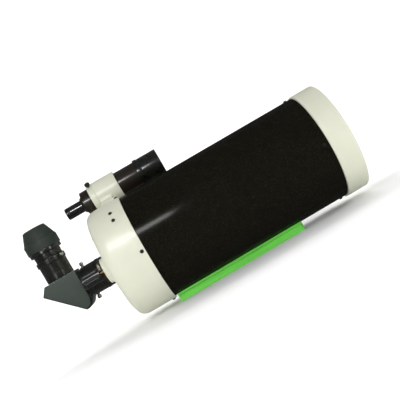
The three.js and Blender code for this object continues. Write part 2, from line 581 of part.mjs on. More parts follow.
// Two adjusting screws and a spring plunger press on the tube from three sides.
const adjusterDirection = (side) => [0, side * Math.sin(radians(60)), Math.cos(radians(60))];
const ADJUSTERS = { left: adjusterDirection(-1), right: adjusterDirection(1) };
const PLUNGER = { tip: BRACKET.bore + 0.2, pin: 3, head: 4.4, seat: 30, end: 31.6 };
const bracketHole = (direction, radius) => aimed(
  cylinder(20, 40, radius, ROUND.screw), direction, [BRACKET.screws, 0, 0]);
add(finderAxis, 'finder_bracket', cut(
  join(bracketSleeve, key, neck), bracketBore,
  bracketHole(ADJUSTERS.left, THUMB_SCREW.hole),
  bracketHole(ADJUSTERS.right, THUMB_SCREW.hole),
  bracketHole(QUARTERS.bottom, PLUNGER.pin + GAP),
), FINISH.cream);
add(finderAxis, 'finder_plunger', aimed(turned([
  [PLUNGER.tip, 0], [PLUNGER.tip, PLUNGER.pin], [PLUNGER.seat, PLUNGER.pin],
  [PLUNGER.seat, PLUNGER.head], [PLUNGER.end, PLUNGER.head], [PLUNGER.end, 0],
], ROUND.screw), QUARTERS.bottom, [BRACKET.screws, 0, 0]), FINISH.steel);
const ADJUSTER = { seat: 31, head: 5.3, height: 7.6 };
for (const [side, direction] of Object.entries(ADJUSTERS)) {
  const screw = thumbScrew(ADJUSTER.seat - FINDER.tube - GAP, ADJUSTER.height, ADJUSTER.head);
  const place = [BRACKET.screws, direction[1] * ADJUSTER.seat, direction[2] * ADJUSTER.seat];
  add(finderAxis, `finder_screw_${side}`, aimed(screw, direction, place), FINISH.black);
}

// ---------- finder telescope ----------
const finderInner = FINDER.tube - FINDER.wall;
const ringOuter = BRACKET.bore - GAP;
const ringInner = FINDER.tube + GAP;
const ringHalf = 1.5;
add(finderAxis, 'finder_o_ring', turned([
  [BRACKET.pivot - ringHalf, ringInner + 0.25], [BRACKET.pivot - ringHalf, ringOuter - 0.3],
  [BRACKET.pivot - 0.7, ringOuter], [BRACKET.pivot + 0.7, ringOuter],
  [BRACKET.pivot + ringHalf, ringOuter - 0.3], [BRACKET.pivot + ringHalf, ringInner + 0.25],
  [BRACKET.pivot + 0.7, ringInner], [BRACKET.pivot - 0.7, ringInner],
]), FINISH.rubber);
add(finderAxis, 'finder_tube',
  sleeve(BRACKET.rear, CELL.front - GAP, FINDER.tube, finderInner), FINISH.tube);

// The rear cell screws onto the tube and carries the eyepiece in its nose.
const NOSE = { rear: -212.5, bore: 12.5, radius: 14.8, step: 20.5 };
add(finderAxis, 'finder_rear_cell', turned([
  [NOSE.rear, NOSE.bore], [NOSE.rear, NOSE.radius], [CELL.rear, NOSE.step],
  [CELL.rear, CELL.radius - 1], [CELL.rear + 1, CELL.radius], [BRACKET.rear - GAP, CELL.radius],
  [BRACKET.rear - GAP, finderInner - GAP], [BRACKET.rear + 7, finderInner - GAP],
  [BRACKET.rear + 7, 20], [BRACKET.rear - 4, 20], [BRACKET.rear - 4, NOSE.bore],
]), FINISH.black);
const EYE_END = { rear: -248.4, front: -199, radius: 12.2, bore: 10.2 };
add(finderAxis, 'finder_eyepiece', turned([
  [EYE_END.rear, EYE_END.bore], [EYE_END.rear, EYE_END.radius - 0.5],
  [EYE_END.rear + 0.5, EYE_END.radius], [EYE_END.front, EYE_END.radius],
  [EYE_END.front, EYE_END.bore],
], ROUND.medium), FINISH.black);
add(finderAxis, 'finder_eye_lens',
  lens(EYE_END.rear + 2.2, 34, EYE_END.rear + 6.2, -34, EYE_END.bore - GAP, ROUND.small), FINISH.glass);

// The front cell: a collar, the objective's seat and the dew shield.
const SEAT = { rear: -70, front: -62, radius: 23 };
add(finderAxis, 'finder_dew_shield', turned([
  [CELL.front - 7.5, finderInner - 2], [CELL.front - 7.5, finderInner - GAP],
  [CELL.front, finderInner - GAP], [CELL.front, CELL.collar - 0.5], [CELL.front + 0.5, CELL.collar],
  [CELL.front + 7.5, CELL.collar], [CELL.front + 8, CELL.shield], [CELL.mouth - 0.5, CELL.shield],
  [CELL.mouth, CELL.shield - 0.5], [CELL.mouth, CELL.shield - 1.6],
  [SEAT.front, CELL.shield - 2], [SEAT.front, SEAT.radius], [SEAT.rear, SEAT.radius],
  [SEAT.rear, finderInner - 2],
]), FINISH.black);
add(finderAxis, 'finder_objective',
  lens(SEAT.rear + 1.4, 150, SEAT.front - 1.4, -150, SEAT.radius - GAP), FINISH.glass);

export default telescope;
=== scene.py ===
"""Looks for a Maksutov telescope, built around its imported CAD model.

Lengths are in millimetres until a mesh is made, and places are read from the frame's own boxes.
The optical axis runs along +X, so most pieces are turned about it or about a line near it.
"""

import math

import bmesh
import bpy
from mathutils import Matrix, Vector


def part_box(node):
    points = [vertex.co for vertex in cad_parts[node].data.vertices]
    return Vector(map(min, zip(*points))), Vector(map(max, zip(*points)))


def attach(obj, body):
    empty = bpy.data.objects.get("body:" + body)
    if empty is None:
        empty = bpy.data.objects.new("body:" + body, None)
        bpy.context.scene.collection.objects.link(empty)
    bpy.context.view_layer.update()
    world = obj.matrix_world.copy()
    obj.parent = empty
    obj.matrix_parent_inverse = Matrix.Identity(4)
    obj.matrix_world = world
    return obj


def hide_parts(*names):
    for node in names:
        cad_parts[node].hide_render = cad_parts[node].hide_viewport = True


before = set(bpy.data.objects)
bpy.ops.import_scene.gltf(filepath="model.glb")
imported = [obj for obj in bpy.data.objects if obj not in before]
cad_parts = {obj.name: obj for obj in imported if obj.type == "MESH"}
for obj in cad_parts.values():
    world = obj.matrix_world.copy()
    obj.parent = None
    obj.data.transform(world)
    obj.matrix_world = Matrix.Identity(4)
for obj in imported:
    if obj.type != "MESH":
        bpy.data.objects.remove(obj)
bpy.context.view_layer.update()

MM = 0.001
GAP = 0.3
FINE_ROUND = 720  # facets round a piece with fine teeth or notches
BIG_ROUND = 256  # facets round the tube and its two castings
ROUND = 144
SMALL_ROUND = 72
TINY_ROUND = 48

X = Vector((1, 0, 0))
UP = Vector((0, 0, 1))
NEAR = Vector((0, -1, 0))  # the side with the focus knob


# ---------- places, read from the frame ----------
def ends(node, axis=0):
    """A node's lowest and highest value along an axis, in millimetres."""
    low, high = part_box(node)
    return low[axis] / MM, high[axis] / MM


def middle(node):
    """The centre of a node's box, in millimetres."""
    low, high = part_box(node)
    return (low + high) / (2 * MM)


def girth(node, axis=2):
    """Half of a node's width along an axis, in millimetres."""
    low, high = ends(node, axis)
    return (high - low) / 2


AXIS = Vector((0, 0, middle("tube").z))  # a point of the optical axis
FOCUS = Vector((0, middle("focus_knob").y, middle("focus_knob").z))
FOLD = Vector((middle("eyepiece_body").x, 0, AXIS.z))  # where the light path turns up
FINDER = Vector((0, middle("finder_tube").y, middle("finder_tube").z))
LEAN = Vector((0, FINDER.y - AXIS.y, FINDER.z - AXIS.z)).normalized()  # from the tube to the finder
ACROSS = Vector((0, LEAN.z, -LEAN.y))  # across the finder's shoe, towards the far side


# ---------- mesh tools ----------
def in_scene(name, data):
    """A new object in the scene."""
    made = bpy.data.objects.new(name, data)
    bpy.context.scene.collection.objects.link(made)
    return made


def new_object(name, mesh_data, material, body, nodes=()):
    """Adds a finished piece: its material, the body it rides on and the CAD nodes it stands for.

    A piece with the name of a CAD node stands for that node, and "_look" is added to its name.
    """
    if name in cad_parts:
        name, nodes = name + "_look", [name]
    piece = in_scene(name, mesh_data)
    piece.data.materials.append(material)
    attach(piece, body)
    if nodes:
        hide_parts(*nodes)
    return piece


def shade(mesh_data, angle=32):
    """Smooth shading that breaks at edges sharper than an angle in degrees."""
    mesh_data.shade_smooth()
    mesh_data.set_sharp_from_angle(angle=math.radians(angle))


def to_axis(origin, direction):
    """The matrix that moves a shape made about +X onto a line through origin along direction."""
    turn = X.rotation_difference(Vector(direction)).to_matrix().to_4x4()
    return Matrix.Translation(Vector(origin)) @ turn


def soften(profile, default, closed, steps=5):
    """Rounds the corners of a profile. A point is (x, r) or (x, r, corner radius)."""
    share = 0.48  # the most of an edge that the corner at one end of it takes
    count = len(profile)
    points = []
    for i, point in enumerate(profile):
        here = Vector(point[:2])
        radius = point[2] if len(point) > 2 else default
        at_end = not closed and i in (0, count - 1)
        if at_end or radius <= 0:
            points.append(here)
            continue
        before = Vector(profile[i - 1][:2]) - here
        after = Vector(profile[(i + 1) % count][:2]) - here
        half = before.angle(after, 0) / 2
        if not 0.01 < half < math.pi / 2 - 0.02:  # folded back, or straight on
            points.append(here)
            continue
        reach = min(radius / math.tan(half), share * before.length, share * after.length)
        start = here + before.normalized() * reach
        end = here + after.normalized() * reach
        for k in range(steps + 1):
            t = k / steps
            points.append(start * (1 - t) ** 2 + here * 2 * t * (1 - t) + end * t ** 2)
    return points


def value_at(value, angle):
    """A value that may be a function of the angle."""
    return value(angle) if callable(value) else value


def spun_mesh(name, rings, closed, facets, place):
    """A surface of revolution about +X. A ring is (x, r), and either may be a function of angle."""
    bm = bmesh.new()
    rows = []
    for x, r in rings:
        if not callable(r) and abs(r) < 1e-6:
            rows.append([bm.verts.new(place @ Vector((value_at(x, 0), 0, 0)))])
            continue
        row = []
        for i in range(facets):
            angle = 2 * math.pi * i / facets
            radius = value_at(r, angle)
            point = Vector((value_at(x, angle), radius * math.sin(angle), radius * math.cos(angle)))
            row.append(bm.verts.new(place @ point))
        rows.append(row)
    pairs = list(zip(rows, rows[1:] + rows[:1]))
    for low, high in pairs if closed else pairs[:-1]:
        for i in range(facets):
            j = (i + 1) % facets
            corners = [low[i % len(low)], low[j % len(low)], high[j % len(high)], high[i % len(high)]]
            unique = list(dict.fromkeys(corners))
            if len(unique) > 2:
                bm.faces.new(unique)
    bmesh.ops.recalc_face_normals(bm, faces=bm.faces)
    bmesh.ops.scale(bm, vec=(MM, MM, MM), verts=bm.verts)
    data = bpy.data.meshes.new(name)
    bm.to_mesh(data)
    bm.free()
    shade(data)
    return data


def turned(name, profile, material, body, origin=AXIS, direction=X, corner=0.3,
           facets=ROUND):
    """A turned piece. Its profile starts and ends on the axis, or else it closes on itself."""
    rings = [tuple(p) for p in soften(profile, corner, profile[0][1] > 0)]
    return shaped(name, rings, material, body, origin, direction, facets)


def shaped(name, rings, material, body, origin=AXIS, direction=X, facets=SMALL_ROUND):
    """A piece whose rings may have any outline, such as a knurled or fluted knob."""
    closed = callable(rings[0][1]) or rings[0][1] > 0
    data = spun_mesh(name, rings, closed, facets, to_axis(origin, direction))
    return new_object(name, data, material, body)


def rounded_outline(points, radius):
    """The corners of a closed outline in the XZ plane, rounded."""
    return soften(points, radius, True, steps=6)


def framed(across, along, up, origin):
    """The matrix that lays a slab's own x, y and z along three directions."""
    turn = Matrix((across, along, up)).transposed().to_4x4()
    return Matrix.Translation(Vector(origin)) @ turn


def slab_mesh(name, outline, low, high, bevel, place=Matrix.Identity(4)):
    """A plate between two values of its own y, with bevelled edges."""
    rim_angle = 1.2  # radians; the rims turn more than this, the softened corners less
    bm = bmesh.new()
    face = bm.faces.new([bm.verts.new(place @ Vector((p[0], low, p[1]))) for p in outline])
    grown = bmesh.ops.extrude_face_region(bm, geom=[face])
    moved = [v for v in grown["geom"] if isinstance(v, bmesh.types.BMVert)]
    bmesh.ops.translate(bm, vec=place.to_3x3() @ Vector((0, high - low, 0)), verts=moved)
    bmesh.ops.recalc_face_normals(bm, faces=bm.faces)
    rims = [e for e in bm.edges if len(e.link_faces) == 2 and e.calc_face_angle(0) > rim_angle]
    bmesh.ops.bevel(bm, geom=rims, offset=bevel, segments=3, profile=0.6, affect="EDGES")
    bmesh.ops.scale(bm, vec=(MM, MM, MM), verts=bm.verts)
    data = bpy.data.meshes.new(name)
    bm.to_mesh(data)
    bm.free()
    shade(data)
    return data


def groove(x, radius, depth, half, corner=0.2):
    """The profile of a V groove with its bottom at x."""
    return [(x - half, radius, corner), (x, radius - depth, 0.2), (x + half, radius, corner)]


def flat_groove(x, width, radius, depth, slope=0.4, corner=0.2):
    """The profile of a groove with a flat bottom and sloping sides, from x on."""
    end, floor = x + width, radius - depth
    return [(x, radius, corner), (x + slope, floor, corner), (end - slope, floor, corner),
            (end, radius, corner)]


# ---------- materials ----------
EVEN = (1, 1, 1)  # no stretch of a texture
SPREAD = (0.3, 0.7)  # most values of a noise lie between these


class Finish:
    """One procedural material, built round a Principled shader."""

    def __init__(self, name, colour, roughness, metallic=0.0, **inputs):
        self.material = bpy.data.materials.new(name)
        self.material.use_nodes = True
        self.nodes = self.material.node_tree.nodes
        self.links = self.material.node_tree.links
        self.shader = self.nodes["Principled BSDF"]
        self.shader.inputs["Base Color"].default_value = (*colour, 1)
        self.shader.inputs["Roughness"].default_value = roughness
        self.shader.inputs["Metallic"].default_value = metallic
        for key, value in inputs.items():
            self.shader.inputs[key.replace("_", " ")].default_value = value
        self.colour = colour
        self.coords = self.nodes.new("ShaderNodeTexCoord")

    def mapped(self, scale):
        """The piece's own coordinates, scaled along each axis."""
        mapping = self.nodes.new("ShaderNodeMapping")
        mapping.inputs["Scale"].default_value = scale
        self.links.new(self.coords.outputs["Object"], mapping.inputs["Vector"])
        return mapping.outputs["Vector"]

    def noise(self, scale, detail, stretch):
        """Noise whose features are about 1/scale metres across."""
        texture = self.nodes.new("ShaderNodeTexNoise")
        texture.inputs["Scale"].default_value = scale
        texture.inputs["Detail"].default_value = detail
        self.links.new(self.mapped(stretch), texture.inputs["Vector"])
        return texture.outputs["Fac"]

    def ramp(self, source, low, high, span=SPREAD):
        """A colour that runs from low to high as the source rises through the span."""
        ramp = self.nodes.new("ShaderNodeValToRGB")
        for element, position, colour in zip(ramp.color_ramp.elements, span, (low, high)):
            element.position = position
            element.color = (*colour, 1)
        self.links.new(source, ramp.inputs["Fac"])
        return ramp.outputs["Color"]

    def patches(self, scale, low, high, detail=3, stretch=EVEN):
        """Runs the base colour between two multiples of itself."""
        dark = tuple(c * low for c in self.colour)
        light = tuple(c * high for c in self.colour)
        colour = self.ramp(self.noise(scale, detail, stretch), dark, light)
        self.links.new(colour, self.shader.inputs["Base Color"])
        return self

    def wear(self, scale, low, high, stretch=EVEN):
        """Runs the roughness between two values."""
        spread = self.nodes.new("ShaderNodeMapRange")
        for key, value in zip(("From Min", "From Max", "To Min", "To Max"), (*SPREAD, low, high)):
            spread.inputs[key].default_value = value
        self.links.new(self.noise(scale, 3, stretch), spread.inputs["Value"])
        self.links.new(spread.outputs["Result"], self.shader.inputs["Roughness"])
        return self

    def grain(self, scale, height, strength, detail=2, stretch=EVEN):
        """A bump of a height in millimetres."""
        bump = self.nodes.new("ShaderNodeBump")
        bump.inputs["Strength"].default_value = strength
        bump.inputs["Distance"].default_value = height * MM
        self.links.new(self.noise(scale, detail, stretch), bump.inputs["Height"])
        self.links.new(bump.outputs["Normal"], self.shader.inputs["Normal"])
        return self


def cream_paint():
    """Smooth satin paint over a casting, with a faint orange peel."""
    f = Finish("cream_paint", (0.77, 0.78, 0.64), 0.4, Specular_IOR_Level=0.3,
               Coat_Weight=0.2, Coat_Roughness=0.3)
    return f.patches(14, 0.97, 1.02, 4).wear(60, 0.34, 0.44).grain(900, 0.02, 0.35).material


def tube_paint():
    """Black paint with a fine warm metallic fleck under a clear coat."""
    f = Finish("tube_paint", (0.0064, 0.0062, 0.0040), 0.5, Specular_IOR_Level=0.0,
               Coat_Weight=0.2, Coat_Roughness=0.16, Coat_IOR=1.35)
    cells = f.nodes.new("ShaderNodeTexVoronoi")
    cells.inputs["Scale"].default_value = 1500
    f.links.new(f.coords.outputs["Object"], cells.inputs["Vector"])
    split = f.nodes.new("ShaderNodeSeparateColor")
    f.links.new(cells.outputs["Color"], split.inputs["Color"])
    fleck = f.ramp(split.outputs["Red"], f.colour, (0.042, 0.035, 0.021), (0.9, 1.0))
    f.links.new(fleck, f.shader.inputs["Base Color"])
    return f.wear(40, 0.45, 0.55).grain(500, 0.01, 0.2).material


def green_anodised():
    """Bright anodised aluminium, drawn along its length."""
    f = Finish("green_anodised", (0.22, 0.88, 0.11), 0.36, 0.15, Specular_IOR_Level=0.5)
    f.patches(700, 0.9, 1.08, stretch=(0.02, 1, 1))
    f.wear(500, 0.3, 0.42, stretch=(0.03, 1, 1))
    f.grain(2500, 0.01, 0.3, stretch=(0.015, 1, 1))
    return f.material


def black_metal():
    """Satin black anodised aluminium."""
    f = Finish("black_metal", (0.009, 0.0105, 0.0075), 0.3, Specular_IOR_Level=0.1,
               Coat_Weight=0.7, Coat_Roughness=0.2)
    return f.patches(90, 0.8, 1.35, 4).wear(160, 0.25, 0.36).grain(3000, 0.006, 0.3).material


def gloss_black():
    """Polished black of the finder's eyepiece."""
    f = Finish("gloss_black", (0.008, 0.0085, 0.008), 0.25, Specular_IOR_Level=0.2,
               Coat_Weight=1.0, Coat_Roughness=0.05)
    return f.patches(90, 0.85, 1.25).grain(2500, 0.004, 0.2).material


def finder_paint():
    """Brown-black gloss paint of the finder."""
    f = Finish("finder_paint", (0.016, 0.011, 0.0065), 0.45, Specular_IOR_Level=0.1,
               Coat_Weight=0.6, Coat_Roughness=0.22)
    return f.patches(600, 0.8, 1.4).wear(80, 0.38, 0.52).grain(900, 0.01, 0.3).material


def inner_black():
    """Matt black of the light path's inside."""
    f = Finish("inner_black", (0.006, 0.006, 0.006), 0.85)
    return f.patches(120, 0.8, 1.3).grain(1800, 0.03, 0.4).material


def slate_paint():
    """Slate paint with a fine powder texture."""
    f = Finish("slate_paint", (0.036, 0.054, 0.041), 0.5, Specular_IOR_Level=0.4)
    return f.patches(70, 0.93, 1.06, 4).wear(200, 0.44, 0.58).grain(2200, 0.03, 0.5, 3).material


def black_plastic():
    """Moulded black plastic, a little glossy."""
    f = Finish("black_plastic", (0.009, 0.0105, 0.009), 0.3, Specular_IOR_Level=0.15,
               Coat_Weight=0.8, Coat_Roughness=0.28)
    return f.patches(110, 0.85, 1.25).wear(260, 0.24, 0.36).grain(1600, 0.01, 0.3).material


def rubber():
    """Soft matt rubber with a faint bloom."""
    f = Finish("rubber", (0.019, 0.028, 0.021), 0.62, Specular_IOR_Level=0.3,
               Sheen_Weight=0.06, Sheen_Roughness=0.5)
    return f.patches(60, 0.85, 1.15, 5).wear(240, 0.56, 0.7).grain(1500, 0.04, 0.4, 3).material


def chrome():
    """Bright plating with fine turning marks and a few dull patches."""
    f = Finish("chrome", (0.42, 0.43, 0.41), 0.16, 1.0)
    return f.patches(120, 0.93, 1.03).wear(420, 0.1, 0.24).grain(3500, 0.004, 0.25).material


def old_chrome():
    """Plating that has gone dull and a little brown."""
    f = Finish("old_chrome", (0.10, 0.088, 0.068), 0.34, 1.0)
    return f.patches(200, 0.85, 1.1).wear(420, 0.24, 0.38).grain(3500, 0.005, 0.3).material


def dark_steel():
    """Blackened steel of the screws."""
    f = Finish("dark_steel", (0.02, 0.02, 0.019), 0.3, 0.8)
    return f.patches(500, 0.7, 1.5).wear(700, 0.24, 0.4).grain(3000, 0.008, 0.3).material


def brass():
    """Turned brass, a little dulled."""
    f = Finish("brass", (0.11, 0.075, 0.035), 0.36, 1.0)
    return f.patches(260, 0.85, 1.08).wear(500, 0.28, 0.44).grain(3000, 0.006, 0.3).material


def coated_glass():
    """Optical glass with a faint green coating."""
    f = Finish("coated_glass", (0.96, 1.0, 0.975), 0.0, Transmission_Weight=1.0, IOR=1.5)
    return f.patches(10, 0.98, 1.0, 2).material


def mirror_glass():
    """Aluminised mirror with the faintest haze."""
    f = Finish("mirror_glass", (0.93, 0.94, 0.94), 0.015, 1.0)
    return f.patches(12, 0.985, 1.0, 2).wear(20, 0.01, 0.03).material


CREAM = cream_paint()
TUBE = tube_paint()
GREEN = green_anodised()
FINDER_PAINT = finder_paint()
BLACK = black_metal()
GLOSS = gloss_black()
INNER = inner_black()
SLATE = slate_paint()
PLASTIC = black_plastic()
RUBBER = rubber()
CHROME = chrome()
OLD_CHROME = old_chrome()
STEEL = dark_steel()
BRASS = brass()
GLASS = coated_glass()
MIRROR = mirror_glass()


# ---------- camera, light and stage ----------
def camera():
    """At the reference view: level with the tube, rolled so that the tube points up to the right."""
    level = AXIS.z + 26
    place = Vector((-53.2, -1357, level)) * MM
    aim = Vector((-8.5, 0, level)) * MM
    roll = math.radians(30.3)
    forward = (aim - place).normalized()
    right = forward.cross(UP).normalized()
    up = right.cross(forward)
    across = right * math.cos(roll) - up * math.sin(roll)
    top = up * math.cos(roll) + right * math.sin(roll)
    data = bpy.data.cameras.new("camera")
    data.lens = 64.8
    data.sensor_width = 36
    data.clip_end = 50
    seen = in_scene("camera", data)
    seen.matrix_world = framed(across, top, -forward, place)
    bpy.context.scene.camera = seen


def area_light(name, place, aim, size, power, colour=(1, 1, 1)):
    """A soft box of a width and height in metres, facing a point."""
    data = bpy.data.lights.new(name, "AREA")
    data.shape = "RECTANGLE"
    data.size, data.size_y = size
    data.energy = power
    data.color = colour
    lamp = in_scene(name, data)
    lamp.location = place
    lamp.rotation_euler = (Vector(aim) - Vector(place)).to_track_quat("-Z", "Y").to_euler()
    return lamp


def stage():
    """A pale floor that curves up into a round wall, so that every view ends on it."""
    rows = [(0, 0), (0, 2000), (100, 2700), (400, 3200), (900, 3500), (1600, 3600), (5000, 3600)]
    data = spun_mesh("floor", rows, False, 96, to_axis((0, -800, 0), UP))
    floor = in_scene("floor", data)
    paint = Finish("floor_paint", (0.93, 0.93, 0.925), 0.9)
    paint.patches(3, 0.995, 1.0, 2)
    floor.data.materials.append(paint.material)
    floor.visible_glossy = False  # its white would wash out the dark pieces' edges
    return floor


def studio(floor):
    """Soft boxes for the object, lights for the floor and wall alone, and an even surround."""
    world = bpy.data.worlds.new("surround")
    world.use_nodes = True
    background = world.node_tree.nodes["Background"].inputs
    background["Color"].default_value = (0.97, 0.985, 1.0, 1)
    background["Strength"].default_value = 0.155
    bpy.context.scene.world = world

    for name, x in (("left_box", -0.83), ("right_box", 1.28)):
        area_light(name, (x, -1.5, 0.6), (-0.3, 0, 0.15), (0.45, 1.0), 5)
    # These two lift the whole object and leave no reflection of themselves.
    top = area_light("top_box", (-0.1, 0.35, 1.6), (0, 0, 0.12), (2.4, 1.0), 5.2)
    fill = area_light("front_fill", (0, -2.6, 0.9), (0, 0, 0.12), (3.0, 1.6), 4.6)
    for lamp in (top, fill):
        lamp.visible_glossy = False
    # A narrow light close above the tube draws the thin bright lines along the glossy pieces.
    strip = area_light("strip", (-0.22, -0.48, 0.44), (-0.15, 0, 0.19), (0.24, 0.07), 2.2)
    strip.visible_diffuse = False

    only_floor = bpy.data.collections.new("only_floor")
    only_floor.objects.link(floor)
    along, wide = (4.0, 0.6), (4.0, 1.4)
    washes = [
        ((0, 1.5, 2.2), (0, 1.3, 0), wide, 32),  # floor behind the telescope
        ((0, -1.6, 2.2), (0, -1.4, 0), wide, 10),  # floor in front of it
        ((0, 0.9, 2.4), (0, 2.8, 0.9), along, 27),  # wall behind
        ((0, -2.5, 2.4), (0, -4.4, 0.9), along, 11),  # wall in front
    ]
    washes += [((1.7 * side, -0.8, 2.4), (3.6 * side, -0.8, 0.9), along, 13) for side in (-1, 1)]
    for place, aim, size, power in washes:
        wash = area_light("wash", place, aim, size, power)
        wash.visible_glossy = False
        wash.light_linking.receiver_collection = only_floor
    bpy.context.scene.view_settings.view_transform = "Standard"
    bpy.context.scene.view_settings.look = "None"


# ---------- screws ----------
def hexagon(radius):
    """The outline of a hexagon, as a function of angle."""
    sector = math.pi / 3
    return lambda a: radius * math.cos(sector / 2) / math.cos((a % sector) - sector / 2)


def knurled(radius, teeth, depth):
    """A round outline with fine teeth."""
    return lambda a: radius - depth * (0.5 - 0.5 * math.cos(a * teeth))


def dome_screw(node, origin, direction):
    """A button-headed screw with a hexagon socket, standing on its seat."""
    head, height, lip, socket = 3.5, 2.2, 0.25, 1.75
    arc = 1.35  # of the dome, in radians
    rings = [(-1, 0), (-1, 1.6), (0, 1.6), (0, head - 0.15), (lip, head)]
    for k in range(1, 7):
        t = arc * k / 6
        rings.append((lip + (height - lip) * math.sin(t) / math.sin(arc),
                      head - (head - socket) * (1 - math.cos(t)) / (1 - math.cos(arc))))
    rings += [(height - 0.15, hexagon(1.5)), (height - 1.2, hexagon(1.42)), (height - 1.5, 0)]
    shaped(node, rings, STEEL, "ota", origin, direction, TINY_ROUND)


def cap_screw(node, origin, direction, radius, height):
    """A knurled cap screw with a hexagon socket."""
    grip = knurled(radius, 36, 0.22)
    rings = [(-2, 0), (-2, radius * 0.45), (0, radius * 0.45), (0, radius - 0.4), (0.3, grip),
             (height - 0.5, grip), (height - 0.1, radius - 0.45), (height, radius - 0.7),
             (height, hexagon(radius * 0.52)), (height * 0.35, hexagon(radius * 0.5)),
             (height * 0.3, 0)]
    shaped(node, rings, STEEL, "ota", origin, direction, ROUND)


def thumb_screw(node, base, origin, direction, body, material, head=4.0, shank=2.0,
                height=7.8):
    """A thumbscrew: shank from base to 0, a collar and a knurled head with a domed end."""
    grip = knurled(head, 30, 0.28)
    rings = [(base, 0), (base, shank - 0.4), (base + 0.4, shank), (0, shank), (0, head * 0.62),
             (0.9, head * 0.66), (1.3, head * 0.9), (1.8, grip), (height - 1.0, grip),
             (height - 0.6, head * 0.9), (height - 0.2, head * 0.72), (height, head * 0.4),
             (height, 0)]
    shaped(node, rings, material, body, origin, direction, 120)


# ---------- optical tube ----------
def optical_tube():
    """The painted tube, lined with a matt black skin just clear of its wall."""
    rear, front = ends("tube")
    radius = girth("tube")
    inner = radius - 2.5
    turned("tube", [(rear, inner), (rear, radius), (front, radius), (front, inner)],
           TUBE, "ota", corner=0.8, facets=BIG_ROUND)
    turned("tube_lining", [(rear + 1, inner - 0.5), (rear + 1, inner - 0.1),
                           (front - 17, inner - 0.1), (front - 17, inner - 0.5)],
           INNER, "ota", corner=0)


def lens_faces(rear, rear_curve, front, front_curve, rim, steps=24):
    """The rings of a lens. A curve is positive when the rim lies further along +x."""
    def face(x, curve):
        return [(x + curve - math.copysign(math.sqrt(curve ** 2 - (rim * k / steps) ** 2), curve),
                 rim * k / steps) for k in range(steps + 1)]
    return face(rear, rear_curve) + face(front, front_curve)[::-1]


def front_end():
    """The ring that holds the corrector, with its retainer, baffle and mirrored spot."""
    rear, front = ends("front_ring")
    radius = girth("front_ring")
    seam = ends("tube")[1] + GAP
    lens_rear = ends("corrector_lens")[0]
    rim = girth("corrector_lens")
    retainer = ends("corrector_retainer")
    spigot = girth("tube") - 2.8
    mouth, root, crest, pitch = 100.5, 98.3, 97.7, 1.2  # the opening and the thread inside it
    ledge = lens_rear + 15.8  # just behind the lens's rim
    opening = 89  # inside the retainer
    threads = []
    start = front - 3.4
    while start - pitch > retainer[1] + 1.6:
        threads += [(start, root, 0.1), (start - pitch / 2, crest, 0.1)]
        start -= pitch
    turned("front_ring", [
        (rear, 96), (rear, spigot), (seam, spigot), (seam, radius - 0.2, 1.2),
        (seam + 1.6, radius), (front, radius, 3.6), (front, mouth, 0.8), (front - 3, 98.6, 0.5),
        *threads, (retainer[1] + 1.2, rim + 2), (retainer[1] + 1.2, rim + GAP),
        (ledge, rim + GAP), (ledge, rim - 2), (seam + 2, rim - 2),
    ], CREAM, "ota", corner=0.5, facets=BIG_ROUND)
    curve, thickness = 262, 18
    faces = lens_faces(lens_rear, curve, lens_rear + thickness, curve, rim)
    new_object("corrector_look", spun_mesh("corrector", faces, False, ROUND, to_axis(AXIS, X)),
               GLASS, "ota", ["corrector_lens"])

    notch_depth, notch_half = 1.6, 0.035  # millimetres, and radians to each side

    def notch(angle):
        in_notch = abs((angle % (math.pi / 2)) - math.pi / 4) < notch_half
        return retainer[1] - notch_depth * in_notch
    shaped("corrector_retainer", [
        (retainer[0], opening + 0.4), (retainer[0], rim), (lambda a: notch(a) - 0.3, rim),
        (notch, rim - 0.3), (notch, opening + 0.4), (lambda a: notch(a) - 0.6, opening),
        (retainer[0] + 0.4, opening)], BLACK, "ota", facets=FINE_ROUND)

    back, front_edge = ends("secondary_baffle")
    wide = girth("secondary_baffle")
    turned("secondary_baffle", [
        (back, wide - 1.2), (back, wide), (front_edge - 3, wide - 3.4), (front_edge - 3, 28),
        (front_edge, 28), (front_edge, 25.3), (front_edge - 2, 25.2)],
        INNER, "ota")
    spot = lens_faces(lens_rear - 0.25, curve, lens_rear - 0.05, curve, rim=24.6, steps=10)
    shaped("secondary_spot", spot, MIRROR, "ota")


